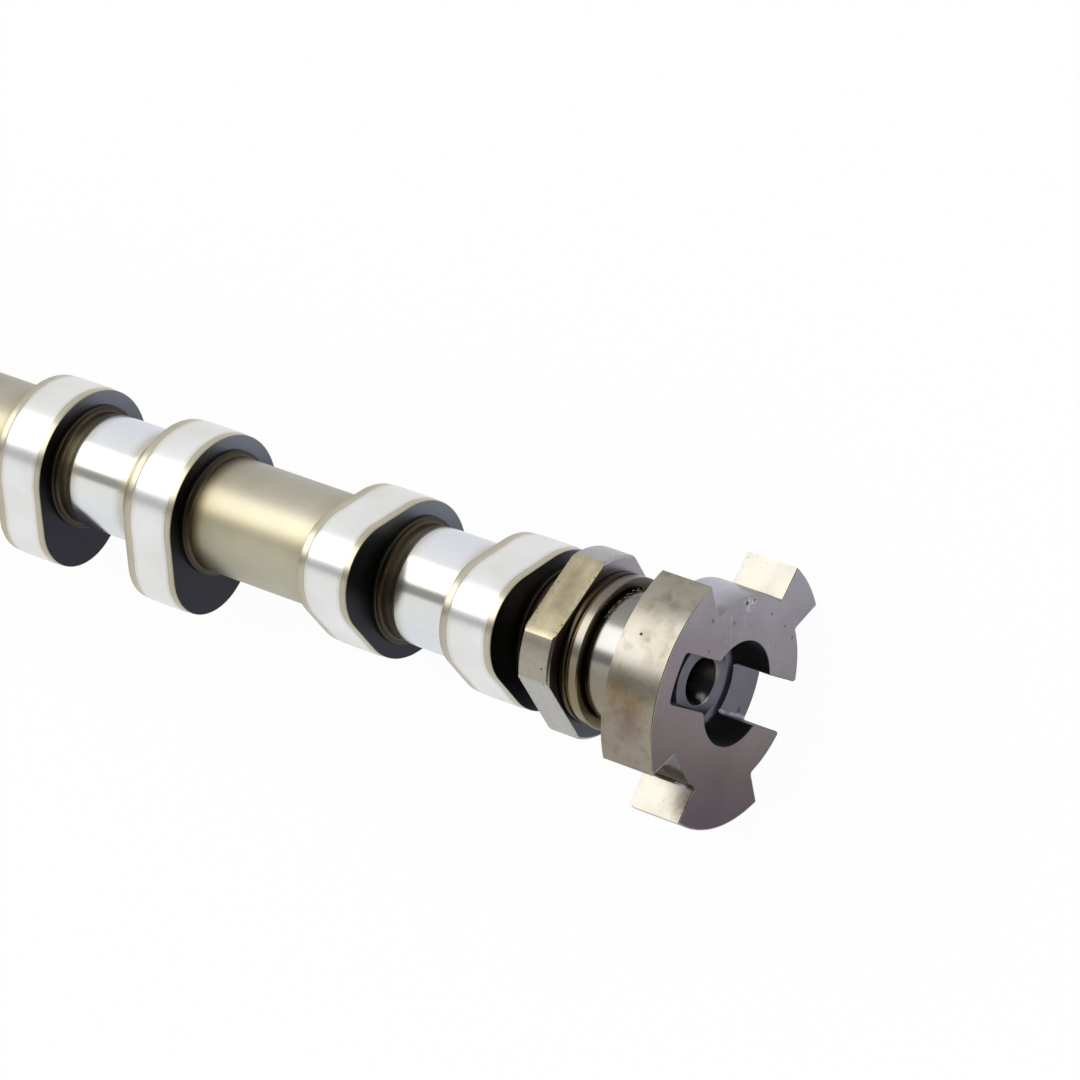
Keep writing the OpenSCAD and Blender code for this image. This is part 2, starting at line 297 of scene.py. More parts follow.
shaft = rounded(np.vstack([
    [[FLANGE_BACK - OVERLAP, 0, 0, 0, 0], [FLANGE_BACK - OVERLAP, PLAIN_R, 0, 0, 0]],
    pairs[pairs[:, 0] > FLANGE_BACK - OVERLAP],
    [[SQUARE_X + OVERLAP, PLAIN_R, 0, 0, 0.9], [SQUARE_X + OVERLAP, 0, 0, 0, 0]],
]))
turned("shaft", shaft, turned_iron)


# LOBES: eight cams cast with the shaft against iron chills, which leave them hard. The band that
# the follower rides on is ground; a land on each side is set back from it; the faces stay dark.
BASE_R, LIFT, NOSE_R, LAND_W, LAND_DROP, EDGE_ROUND = 16.25, 5.3, 11.6, 2.0, 0.15, 0.12
NOSE_ANGLES = (-83.0, 7.0, 187.0, 97.0)
FACE_R = 12.4  # where the faces start, under the hub rings
NARROWER = 1.3  # the land on the side away from the flange is this much narrower


def clouds(tree, place, scale, detail, stops, **more):
    """Colours that drift into one another over a surface, by a noise of this scale and detail."""
    noise = add(tree, "TexNoise", {"Vector": place, "Scale": scale, "Detail": detail, **more})
    return add(tree, "ValToRGB", {"Fac": noise}, stops)


def clouded(tree, place, colour, *cloud, **more):
    """A colour tinted by such clouds."""
    tint = clouds(tree, place, *cloud, **more)
    return add(tree, "Mix", {"Factor": 1.0, "A": colour, "B": tint}, **TINT)


# The ground band is bright, almost white, between two even tan lands. The line where the grinding
# starts is crisp, and wanders a little, as the land was left by the casting.
lobe_iron, tree, shader, place = metal("ground_chilled_iron_lobe")
inward = add(tree, "Attribute", attribute_name="from_edge").outputs["Fac"]
wander = add(tree, "TexNoise", {"Vector": place, "Scale": 110.0, "Detail": 4.0})
wander = add(tree, "MapRange",
             {"Value": wander, "From Min": 0.3, "From Max": 0.7, "To Min": -0.03, "To Max": 0.03})
wander = add(tree, "Math", {0: inward, 1: wander}, operation="ADD")
across = add(tree, "ValToRGB", {"Fac": wander}, [
    (0.0, "#A69E88"), (0.08, "#B6B09D"), (0.25, "#BCB7A8"),
    (0.3, "#AFA898"), (0.345, "#DAD8D0"), (0.5, "#E6E7E7")])
colour = clouded(tree, place, across, 90.0, 4.0, [(0.3, "#F3F1EE"), (0.7, "#FFFFFF")])
rough = add(tree, "MapRange",
            {"Value": inward, "From Min": 0.3, "From Max": 0.36, "To Min": 0.28, "To Max": 0.27})
marks = add(tree, "Mapping", {"Vector": place, "Scale": (2200, 40, 40)})
marks = add(tree, "TexNoise", {"Vector": marks, "Scale": 1.0, "Detail": 2.0})
bump = add(tree, "Bump", {"Height": marks, "Strength": 0.1, "Distance": 0.00002})
add(tree, shader, {"Base Color": colour, "Roughness": rough, "Normal": bump})

# The faces keep the dark skin of the casting, milled once and left: a blue-black satin with painted
# shade, darker towards -y and greyer towards +y. The square's faces are barer.
face_iron, tree, shader, place = metal("dark_cast_iron_face")
bare = add(tree, "Attribute", attribute_name="bare").outputs["Fac"]
skin_with_painted_shade = graded(tree, place, "Y", -14, 18, [
    (0.0, "#35363D"), (0.5, "#3E3F47"), (0.75, "#5A5D66"), (1.0, "#7E828D")])
# The milled faces of the square carry the same painted shade along y.
milled = graded(tree, place, "Y", -14, 18, [
    (0.0, "#50535D"), (0.35, "#8C847E"), (0.6, "#A0968F"), (1.0, "#A5A1AB")])
colour = add(tree, "Mix", {"Factor": bare, "A": skin_with_painted_shade, "B": milled}, **OVER)
colour = clouded(tree, place, colour, 90.0, 4.0, [(0.3, "#F0F0F0"), (0.7, "#FFFFFF")])
grain = add(tree, "TexNoise", {"Vector": place, "Scale": 900.0, "Detail": 3.0})
bump = add(tree, "Bump", {"Height": grain, "Strength": 0.08, "Distance": 0.00004})
add(tree, shader, {"Base Color": colour, "Normal": bump})

nose_offset = BASE_R + LIFT - NOSE_R
flank = math.acos((BASE_R - NOSE_R) / nose_offset)
NOSE_STEPS, BASE_STEPS, FLANK_STEPS = 72, 110, 8
# Nose, flank, base circle and flank: the direction of the outline's normal, and how far each point
# has gone from the base circle (0) to the nose (1), which gives its arc's radius and centre.
share = np.linspace(0, 1, FLANK_STEPS + 2)[1:-1]
normal_angle = np.r_[
    np.linspace(-flank, flank, NOSE_STEPS), np.full(FLANK_STEPS, flank),
    np.linspace(flank, 2 * np.pi - flank, BASE_STEPS), np.full(FLANK_STEPS, -flank)]
to_nose = np.r_[np.ones(NOSE_STEPS), 1 - share, np.zeros(BASE_STEPS), share]
normal = np.stack([np.cos(normal_angle), np.sin(normal_angle)], -1)
arc_centre = np.stack([nose_offset * to_nose, 0 * to_nose], -1)
cam_outline = arc_centre + (BASE_R + (NOSE_R - BASE_R) * to_nose)[:, None] * normal

# Rows across the width to the middle: x, how far the outline is moved out, radius of the corner.
to_middle = np.array([
    [0, -3.0, 0],
    [0, -LAND_DROP, EDGE_ROUND],
    [0.7, -LAND_DROP, 0],
    [LAND_W - 0.5, -LAND_DROP, 0.9],
    [LAND_W, 0, 0.9],
    [LAND_W + 0.6, 0, 0],
    [LAND_W + 1.4, 0, 0],
])
over_the_rim = rounded(np.vstack([to_middle, to_middle[::-1] * [-1, 1, 1] + [LOBE_W, 0, 0]]))


def end_bands(rows, columns, count):
    """Which quads of a grid lie in its first or last bands, which close its two faces."""
    band = np.repeat(np.arange(rows - 1), columns)
    return (band < count) | (band >= rows - 1 - count)


def turned_by(points, angle):
    """Points of the plane turned by an angle in degrees."""
    c, s = math.cos(math.radians(angle)), math.sin(math.radians(angle))
    return points @ np.array([[c, s], [-s, c]])


def lobe(name, x, angle):
    """A cam: each point of the outline, which is an arc's centre plus its radius along the normal,
    is moved along that normal as the profile across the width says; inner rings close on the axis."""
    rim = cam_outline + over_the_rim[:, 1, None, None] * normal
    face = FACE_R * cam_outline / np.linalg.norm(cam_outline, axis=1, keepdims=True)
    rings = turned_by(np.stack([0 * face, face, *rim, face, 0 * face]), angle)
    across = np.r_[0, 0, over_the_rim[:, 0], LOBE_W, LOBE_W][:, None, None] + 0 * rings[..., :1]
    points = np.concatenate([x + across, rings], -1).reshape(-1, 3)
    from_edge = np.minimum(across, NARROWER * (LOBE_W - across)) / (LOBE_W / 2)
    size = rings.shape[:2]
    return piece(name, points, grid_faces(*size), {"from_edge": from_edge, "bare": 0 * across},
                 [lobe_iron, face_iron], end_bands(*size, 3), sharp=50)


for cylinder, nose_angle in enumerate(NOSE_ANGLES):
    for which, letter in enumerate("ab"):
        lobe_x = FIRST_LOBE_X + CYLINDER_PITCH * cylinder + LOBE_PITCH * which
        lobe(f"lobe_{cylinder + 1}{letter}", lobe_x, nose_angle)


# TIMING SQUARE: a round disc with four milled flats, for the plate that holds the shaft in time.
# The cutter brushed the flats across the shaft; the round corners are left as turned.
SQUARE_W, SQUARE_R, SQUARE_HALF, SQUARE_BEVEL, SQUARE_ANGLE = 7.5, 18.2, 15.7, 0.45, 62.4


def near(tree, place, spots, soft):
    """How much a point belongs to one of some spots, each x, y, z and radius in millimetres: 1
    inside, 0 outside, with a soft rim. Noise on the place makes the spots uneven."""
    uneven = add(tree, "TexNoise", {"Vector": place, "Scale": 1200.0, "Detail": 2.0})
    factor = 0.0
    for *spot, radius in spots:
        r = radius * MM
        middle = [value * MM + r / 2 for value in spot]
        shifted = add(tree, "VectorMath",
                      {0: uneven.outputs["Color"], 1: (r, r, r), 2: place}, operation="MULTIPLY_ADD")
        away = add(tree, "VectorMath", {0: shifted, 1: middle}, operation="DISTANCE")
        rim = {"From Min": r * (1 + soft), "From Max": r * (1 - soft)}
        inside = add(tree, "MapRange", {"Value": away.outputs["Value"], **rim})
        factor = add(tree, "Math", {0: factor, 1: inside}, operation="MAXIMUM")
    return factor


def marked(tree, place, colour, marks, blend=OVER):
    """A colour with marks on it, each a shade, how soft its rim is, and its spots."""
    for shade, soft, spots in marks:
        within = near(tree, place, spots, soft)
        colour = add(tree, "Mix", {"Factor": within, "A": colour, "B": shade}, **blend)
    return colour


# The flats are golden or pale, in soft streaks 3 mm apart that run along a flat's length.
flat_iron, tree, shader, place = metal("milled_iron_timing_square")
level = add(tree, "Mapping", {"Vector": place, "Rotation": (math.radians(-SQUARE_ANGLE), 0, 0)})
level = add(tree, "Mapping", {"Vector": level, "Scale": (380, 55, 55)})
streaks = add(tree, "TexNoise", {"Vector": level, "Scale": 1.0, "Detail": 4.0, "Roughness": 0.6})
golden = add(tree, "ValToRGB", {"Fac": streaks}, [(0.32, "#968D72"), (0.68, "#B5AC91")])
pale = add(tree, "ValToRGB", {"Fac": streaks}, [(0.3, "#A7A6A1"), (0.7, "#AFAEAB")])
golden = marked(tree, place, golden, [
    ("#918A74", 1.0, [(320.2, 11.2, 11.9, 1.3), (320.6, 9.3, 12.9, 1.5),
                      (321.0, 7.3, 13.9, 1.5), (321.4, 5.2, 15.0, 1.3)]),
    ("#BCB497", 0.8, [(322.0, 0.6, 17.3, 2.4)]),
])
pale_side = add(tree, "Attribute", attribute_name="pale").outputs["Fac"]
flats = add(tree, "Mix", {"Factor": pale_side, "A": golden, "B": pale}, **OVER)
# The round corners are olive on one side of the shaft and lavender on the other.
arc = add(tree, "Attribute", attribute_name="arc").outputs["Fac"]
turned_arc = graded(tree, place, "Y", 0, 14, [(0.0, "#A39D91"), (1.0, "#A5A4AA")])
colour = add(tree, "Mix", {"Factor": arc, "A": flats, "B": turned_arc}, **OVER)
colour = clouded(tree, place, colour, 900.0, 5.0, [(0.32, "#F6F4EF"), (0.6, "#FFFFFF")])
# Small chips along the edges of the flats, and two pits in a corner.
edge = add(tree, "Attribute", attribute_name="edge").outputs["Fac"]
chips = add(tree, "TexNoise", {"Vector": place, "Scale": 2600.0, "Detail": 2.0})
chips = add(tree, "MapRange", {"Value": chips, "From Min": 0.62, "From Max": 0.68})
chipped = add(tree, "Math", {0: edge, 1: chips}, operation="MULTIPLY")
colour = add(tree, "Mix", {"Factor": chipped, "A": colour, "B": "#5A5346"}, **OVER)
colour = marked(tree, place, colour, [
    ("#2A2622", 0.35, [(323.1, -7.1, 16.8, 0.22), (323.6, -9.9, 15.3, 0.28)])])
bump = add(tree, "Bump", {"Height": streaks, "Strength": 0.06, "Distance": 0.00004})
add(tree, shader, {"Base Color": colour, "Normal": bump})

FLAT_STEPS, CORNER_STEPS, CHIPPED_W = 14, 18, 0.6
# Rows across the width: x, radius over the corners, half the width across the flats. Each row is
# cut by its four flats where they meet its circle; without a circle it's the axis.
square_rows = np.array([
    [0.0, 0.0, 0.0],
    [0.0, SQUARE_R - SQUARE_BEVEL - 0.1, SQUARE_HALF - 0.15],
    [0.05, SQUARE_R - SQUARE_BEVEL, SQUARE_HALF - 0.05],
    [0.15, SQUARE_R - SQUARE_BEVEL + 0.15, SQUARE_HALF],
    [SQUARE_BEVEL, SQUARE_R - 0.03, SQUARE_HALF],
    [SQUARE_BEVEL + 0.12, SQUARE_R, SQUARE_HALF],
    [SQUARE_BEVEL + 1.3, SQUARE_R, SQUARE_HALF],
])
square_rows = np.vstack([square_rows, square_rows[::-1] * [-1, 1, 1] + [SQUARE_W, 0, 0]])
reach, half = square_rows[:, 1:2, None], square_rows[:, 2:3, None]
corner = np.arccos(np.clip(half / np.maximum(reach, 1e-9), 0, 1)) * (reach > 0)
s = np.linspace(-1, 1, FLAT_STEPS)[None, None]
on_flat = np.stack([half + 0 * s, half * np.tan(corner) * s], -1)
s = np.linspace(0, 1, CORNER_STEPS + 2)[None, None, 1:-1]
arc_angle = corner + (np.pi / 2 - 2 * corner) * s
on_corner = np.stack([reach * np.cos(arc_angle), reach * np.sin(arc_angle)], -1)
quarter = np.concatenate([on_flat, on_corner], 2)
quarters = [turned_by(quarter, SQUARE_ANGLE + 90 * i) for i in range(4)]
outline = np.concatenate([q.reshape(len(square_rows), -1, 2) for q in quarters], 1)
zero = 0 * outline[..., :1]
x = square_rows[:, :1, None] + zero
is_arc = np.tile(np.r_[np.zeros(FLAT_STEPS), np.ones(CORNER_STEPS)], 4)[:, None] + zero
# The flat at SQUARE_ANGLE is golden, the next one round is pale, the other two lie between.
paleness = np.repeat([0.0, 1.0, 0.5, 0.5], FLAT_STEPS + CORNER_STEPS)[:, None] + zero
near_edge = (np.minimum(x, SQUARE_W - x) < CHIPPED_W) * 1.0
values = {"arc": is_arc, "pale": paleness, "edge": near_edge, "bare": 1 + zero}
size = outline.shape[:2]
points = np.concatenate([SQUARE_X + x, outline], -1).reshape(-1, 3)
piece("timing_square", points, grid_faces(*size), values, [flat_iron, face_iron], end_bands(*size, 1))


# GUIDE RING AND COLLAR: two rounded lips with a fine groove between them, an undercut, and the
# thicker collar that carries the trigger wheel. All turned on the same shaft.
RING_X, RING_W, RING_R, RING_GROOVE_W, RING_GROOVE_DEPTH = 324.8, 4.3, 15.15, 0.6, 0.5
COLLAR_X, COLLAR_R, UNDERCUT_R, WHEEL_X = 329.9, 13.1, 12.4, 343.6
COLLAR_HOLLOW_R, COLLAR_HOLLOW_X = 5.4, 334.0  # inside it runs the wheel's centre hole
groove_x = RING_X + RING_W / 3
# Ring and collar are burnished: darker than the shaft and smoother. Painted light makes them white
# along the top, and painted shade warm brown on one side and purple grey on the other.
ring_iron = turned_finish(
    "burnished_iron_ring_and_collar",
    satin=[(0.25, "#8F8878"), (0.75, "#A39C8A")], bright=[(0.25, "#9F9E9B"), (0.75, "#ACABA8")],
    satin_rough=0.26, bright_rough=0.2,
    sides=[(0.0, "#D2CAB6"), (0.3, "#D8D0C0"), (0.43, "#FDFDFF"), (0.6, "#FDFDFF"),
           (0.72, "#DCD7D4"), (0.92, "#B0AAB6")])
# Rows: x, r, radius of the corner, ground, stain and painted shade.
ring = rounded([
    [RING_X - 1, 0, 0, 0, 1],
    [RING_X - 1, RING_R - 1.4, 0, 0, 1],
    [RING_X + 0.02, RING_R - 1.4, 0.1, 0, 0.8],
    [RING_X + 0.02, RING_R, 0.45, 0, 0.8],
    [RING_X + 0.75, RING_R, 0, 0, 0.66],
    [groove_x, RING_R, 0.3, 0, 0.6],
    [groove_x, RING_R - RING_GROOVE_DEPTH, 0.2, 0, 0.45],
    [groove_x + RING_GROOVE_W, RING_R - RING_GROOVE_DEPTH, 0.2, 0, 0.4],
    [groove_x + RING_GROOVE_W, RING_R, 0.3, 0, 0.2],
    [groove_x + RING_GROOVE_W + 0.7, RING_R, 0, 0.3, 0.04],
    [RING_X + RING_W, RING_R, 0.35, 0.3, 0.05],
    [RING_X + RING_W, UNDERCUT_R, 0.2, 0, 0.7],
    [COLLAR_X, UNDERCUT_R, 0.2, 0, 0.55],
    [COLLAR_X, COLLAR_R, 0.2, 1, 0.25],
    [COLLAR_X + 1.2, COLLAR_R, 0, 1, 0.06],
    [COLLAR_X + 9, COLLAR_R, 0, 1, 0],
    [WHEEL_X - 1.5, COLLAR_R, 0, 1, 0.1],
    [WHEEL_X, COLLAR_R - 0.2, 0.3, 0.5, 0.7],
    [WHEEL_X + 1, COLLAR_R - 0.2, 0, 0, 1],
    [WHEEL_X + 1, COLLAR_HOLLOW_R, 0, 0, 1],
    [COLLAR_HOLLOW_X, COLLAR_HOLLOW_R, 0, 0, 1],
    [COLLAR_HOLLOW_X, 0, 0, 0, 1],
])
turned("guide_ring_and_collar", ring, ring_iron)

# Fine torn burrs still cling to the collar's shoulder: short wires 0.07 mm thick. Each starts at
# its own place, heads round the shaft, bends as it goes and rises off the collar in the middle.
BURRS, BURR_STEPS, BURR_SIDES, BURR_WIRE_R = 22, 32, 6, 0.035
BURR_START, BURR_STOP = 6.0, 62.0
chance = np.random.default_rng(5)
t = np.linspace(0, 1, BURR_STEPS)[None]
first_angle = chance.uniform(BURR_START, BURR_STOP, (BURRS, 1))
spread = 0.4 + 2.4 * (BURR_STOP - first_angle) / (BURR_STOP - BURR_START)
first_x = COLLAR_X + 0.15 + spread * chance.uniform(0, 1, (BURRS, 1))
length = chance.uniform(0.7, 2.8, (BURRS, 1))
heading = chance.normal(0, 0.5, (BURRS, 1)) + chance.uniform(-3.5, 3.5, (BURRS, 1)) * t
heading += chance.uniform(0, 0.8, (BURRS, 1)) * np.sin(chance.uniform(6, 14, (BURRS, 1)) * t)
step = length / BURR_STEPS
burr_angle = np.radians(first_angle) + np.cumsum(np.cos(heading) * step, 1) / COLLAR_R
burr_x = np.maximum(first_x + np.cumsum(np.sin(heading) * step, 1), COLLAR_X + 0.05)
burr_r = COLLAR_R + 0.02 + chance.uniform(0.05, 0.35, (BURRS, 1)) * np.sin(np.pi * t)
path = np.stack([burr_x, burr_r * np.cos(burr_angle), burr_r * np.sin(burr_angle)], -1)
along_path = np.gradient(path, axis=1)
along_path /= np.linalg.norm(along_path, axis=-1, keepdims=True)
sideways = np.cross(along_path, path * [0, 1, 1])
sideways /= np.linalg.norm(sideways, axis=-1, keepdims=True)
upward = np.cross(sideways, along_path)
around = np.linspace(0, 2 * np.pi, BURR_SIDES, endpoint=False)[:, None]
ring_of_wire = np.cos(around) * sideways[:, :, None] + np.sin(around) * upward[:, :, None]
taper = BURR_WIRE_R * np.sqrt(np.clip(4 * t * (1 - t), 0, 1))[..., None, None]
tubes = path[:, :, None] + taper * ring_of_wire
first_point = (BURR_SIDES * BURR_STEPS * np.arange(BURRS))[:, None, None]
tube_faces = (grid_faces(BURR_STEPS, BURR_SIDES)[None] + first_point).reshape(-1, 4)
# Freshly torn iron, from grey to a bright glint.
burr_iron, tree, shader, place = metal("torn_bright_iron_burr")
tone = clouds(tree, place, 900.0, 4.0, [(0.3, "#8E8E8D"), (0.7, "#DCDCDB")])
add(tree, shader, {"Base Color": tone})
piece("collar_burrs", tubes.reshape(-1, 3), tube_faces, {}, [burr_iron])


# TRIGGER WHEEL: three teeth of different widths that a sensor counts, and in the end face the slot
# that drives the pump, crossing a round recess with a boss and the lathe's centre hole.
WHEEL_W, TOOTH_R, ROOT_R, WHEEL_BEVEL, SLOT_BREAK = 11.6, 26.6, 19.4, 0.3, 0.14
NARROW_TOOTH, WIDE_TOOTH, MIDDLE_TOOTH, FOOT_ROUND = (-41.0, -14.5), (48.0, 134.0), (168.0, 225.0), 0.5
SLOT_HALF, SLOT_DEPTH, SLOT_ANGLE, SLOT_END_R, SLOT_END_ROUND = 4.95, 8.3, -90.0, 21.8, 1.0
RECESS_R, RECESS_ROUND, MOUTH_ROUND = 10.3, 1.1, 0.7
BOSS_R, BOSS_GROOVE, CENTRE_R, CENTRE_PILOT_R, CENTRE_PILOT_LEN = 7.8, 1.2, 4.8, 2.5, 7.0
TOP, END, SLOT, FLOOR, ROOT, SIDE = range(6)  # places in the wheel's list of materials
end_x = WHEEL_X + WHEEL_W
floor_x = end_x - SLOT_DEPTH


def arc_points(centre_y, centre_z, radius, start, stop, steps):
    """Points on an arc, from one angle in degrees to another, turning the way the angles run."""
    t = np.radians(np.linspace(start, stop, steps))
    return np.stack([centre_y + radius * np.cos(t), centre_z + radius * np.sin(t)], 1)


def circle_arc(radius, start, stop):
    """Points on a circle round the axis, from one angle to another, about 1.5 degrees apart."""
    return arc_points(0, 0, radius, start, stop, max(3, round((stop - start) / 1.5)))


def round_corner(radius, distance):
    """A round corner of the slot, its centre at a radius from the axis and a distance from the
    slot's middle line: the centre, and the angle in degrees at which it touches its circle."""
    u = math.sqrt(radius**2 - distance**2)
    return (u, distance), math.degrees(math.atan2(distance, u))


def inset(outline, by):
    """A closed outline moved inwards, to the left of its run: each point goes along the sum of its
    two sides' normals, far enough to keep both sides at that distance."""
    side = np.roll(outline, -1, 0) - outline
    side /= np.linalg.norm(side, axis=1, keepdims=True)
    normal = np.stack([-side[:, 1], side[:, 0]], 1)
    before = np.roll(normal, 1, 0)
    both = normal + before
    return outline + np.reshape(by, (-1, 1)) * both / (1 + (normal * before).sum(1, keepdims=True))


# The slot's frame has its mouth towards +u. One side runs from the mouth to the middle of the
# closed end: a rounding, a recess rounding, the recess, a recess rounding, a rounding, the end.
mouth_centre, mouth_touch = round_corner(ROOT_R - MOUTH_ROUND, SLOT_HALF + MOUTH_ROUND)
inner_centre, inner_touch = round_corner(RECESS_R + RECESS_ROUND, SLOT_HALF + RECESS_ROUND)
end_centre, end_touch = round_corner(SLOT_END_R - SLOT_END_ROUND, SLOT_HALF - SLOT_END_ROUND)
LIP_STEPS, FILLET_STEPS, RECESS_STEPS, END_STEPS, MOUTH_STEPS, FOOT_STEPS = 7, 9, 60, 12, 24, 6
one_side = np.vstack([
    arc_points(*mouth_centre, MOUTH_ROUND, mouth_touch, -90, LIP_STEPS),
    arc_points(*inner_centre, RECESS_ROUND, -90, inner_touch - 180, FILLET_STEPS),
    arc_points(0, 0, RECESS_R, inner_touch, 180 - inner_touch, RECESS_STEPS)[1:-1],
    arc_points(-inner_centre[0], inner_centre[1], RECESS_ROUND, -inner_touch, -90, FILLET_STEPS),
    arc_points(-end_centre[0], end_centre[1], SLOT_END_ROUND, 90, 180 - end_touch, FILLET_STEPS),
    arc_points(0, 0, SLOT_END_R, 180 - end_touch, 180, END_STEPS)[1:],
])
inner_path = turned_by(np.vstack([one_side, one_side[-2::-1] * [1, -1]]), SLOT_ANGLE)
# Round the outside, from one lip of the slot's mouth to the other, tooth by tooth.
lip = [SLOT_ANGLE + mouth_touch, SLOT_ANGLE + 360 - mouth_touch]
foot = math.degrees(math.asin(FOOT_ROUND / (ROOT_R + FOOT_ROUND)))


def foot_arc(angle, start, stop):
    """The rounding at the foot of a tooth: its centre lies outside the root circle at an angle."""
    middle = arc_points(0, 0, ROOT_R + FOOT_ROUND, angle, angle, 1)[0]
    return arc_points(*middle, FOOT_ROUND, start, stop, FOOT_STEPS)


stretches, kinds, angle = [], [], lip[0]
for start, stop in (NARROW_TOOTH, WIDE_TOOTH, MIDDLE_TOOTH):
    root, top = circle_arc(ROOT_R, angle, start - foot), circle_arc(TOOTH_R, start, stop)
    rising = foot_arc(start - foot, start - foot + 180, start + 90)
    falling = foot_arc(stop + foot, stop - 90, stop + foot - 180)[:-1]
    stretches += [root[:-1], rising, top, falling]
    kinds += [ROOT] * (len(root) + FOOT_STEPS - 2) + [SIDE] + [TOP] * (len(top) - 1) + [SIDE]
    kinds += [ROOT] * (FOOT_STEPS - 1)
    angle = stop + foot
root = circle_arc(ROOT_R, angle, lip[1])
outer_path = np.vstack(stretches + [root])
kinds += [ROOT] * (len(root) - 1)
mouth_arc = arc_points(0, 0, ROOT_R, lip[1] - 360, lip[0], MOUTH_STEPS)[1:-1]

# Face outline: round the rim, then back in along the slot. Its run has the metal on its left.
face_path = np.vstack([outer_path, inner_path[::-1][1:-1]])
rim_count = len(outer_path)
edge_break = np.r_[np.full(rim_count, WHEEL_BEVEL), np.full(len(face_path) - rim_count, SLOT_BREAK)]
full_path = np.vstack([outer_path, mouth_arc])


def standing(outlines, xs):
    """Rows of points: each outline of the plane at its own x."""
    rows = [np.column_stack([np.broadcast_to(x, len(o)), o]) for o, x in zip(outlines, xs)]
    return np.concatenate(rows)


# An edge is broken in three facets: how far in each row lies and, the other way, how far down.
BREAK = (1.0, 0.45, 0.12, 0.0)
upper = standing([inset(face_path, edge_break * b) for b in BREAK] + [face_path],
                 [end_x - edge_break * b for b in BREAK[::-1]] + [floor_x])
# The back face runs in to a stub that holds the centre hole, inside the collar.
STUB_R, STUB_X = 5.2, 334.2
stub = STUB_R * full_path / np.linalg.norm(full_path, axis=1, keepdims=True)
back_rim, back_face = (inset(full_path, b * WHEEL_BEVEL) for b in (0.12, 1.0))
lower = standing(
    [full_path, full_path, back_rim, back_face, stub, stub, 0 * stub],
    [floor_x, WHEEL_X + WHEEL_BEVEL, WHEEL_X + 0.45 * WHEEL_BEVEL, WHEEL_X, WHEEL_X, STUB_X, STUB_X])
# Columns of the round work in the recess: two recess arcs and, across the slot, two more.
quarter_run = np.linspace(inner_touch, 180 - inner_touch, RECESS_STEPS)
across_run = np.linspace(-inner_touch, inner_touch, MOUTH_STEPS)
half_run = np.concatenate([across_run[:-1], quarter_run[:-1]])
run = np.radians(SLOT_ANGLE + np.concatenate([half_run, 180 + half_run]))
cone_x = floor_x - (CENTRE_R - CENTRE_PILOT_R) / math.tan(math.radians(30))
# Rows of the recess: x, r, radius of the corner, how dark its painted shade of depth is.
recess = rounded([
    [floor_x, RECESS_R, 0, 0.1],
    [floor_x - 0.35, RECESS_R - 0.12, 0.35, 0.2],
    [floor_x - BOSS_GROOVE, RECESS_R - 0.75, 0.9, 0.3],
    [floor_x - BOSS_GROOVE, BOSS_R + 0.15, 0.5, 0.3],
    [floor_x, BOSS_R, 0.35, 0.22],
    [floor_x, CENTRE_R, 0.25, 0.22],
    [cone_x, CENTRE_PILOT_R, 0.1, 1.0],
    [cone_x - CENTRE_PILOT_LEN, CENTRE_PILOT_R, 0.1, 1.0],
    [cone_x - CENTRE_PILOT_LEN - 1.4, 0, 0, 1.0],
])
hollow = spun(recess[:, :1], recess[:, 1:2], run)
# Two flat floors of the slot, each bounded by the recess's circle, the slot's sides and its end.
recess_front = arc_points(0, 0, RECESS_R, inner_touch, -inner_touch, MOUTH_STEPS)[1:-1]
recess_back = arc_points(0, 0, RECESS_R, 180 + inner_touch, 180 - inner_touch, MOUTH_STEPS)[1:-1]
recess_start = LIP_STEPS + FILLET_STEPS
open_part, closed_part = one_side[:recess_start], one_side[recess_start + RECESS_STEPS - 2 :]
mouth_side = np.vstack([
    open_part, recess_front, (open_part * [1, -1])[::-1], turned_by(mouth_arc, -SLOT_ANGLE)])
closed_side = np.vstack([closed_part, (closed_part * [1, -1])[-2::-1], recess_back])
floors = [turned_by(mouth_side, SLOT_ANGLE), turned_by(closed_side, SLOT_ANGLE)]

# Grids with the points of each row, the finish of their quads, and painted shade; then the flat caps.
upper_kinds = np.r_[kinds, np.full(len(face_path) - len(kinds), SLOT)]
lower_kinds = np.r_[kinds, np.full(len(full_path) - len(kinds), ROOT)]
back_kinds = np.full(len(full_path), END)
points, faces, finish_of, painted_shade_values = [], [], [], []
count = 0
for block, n, block_kinds, dark in (
    (upper, len(face_path), np.tile(upper_kinds, 4), np.zeros(len(upper))),
    (lower, len(full_path), np.r_[np.tile(lower_kinds, 3), np.tile(back_kinds, 3)], np.zeros(len(lower))),
    (hollow, len(run), np.full(len(hollow) - len(run), FLOOR), np.repeat(recess[:, 2], len(run))),
):
    faces += (grid_faces(len(block) // n, n) + count).tolist()
    points.append(block)
    finish_of.append(block_kinds)
    painted_shade_values.append(dark)
    count += len(block)
for kind, x, cap in ((END, end_x, inset(face_path, edge_break)), *((FLOOR, floor_x, f) for f in floors)):
    faces.append(list(range(count, count + len(cap))))
    points.append(standing([cap], [x]))
    finish_of.append([kind])
    painted_shade_values.append(np.zeros(len(cap)))
    count += len(cap)
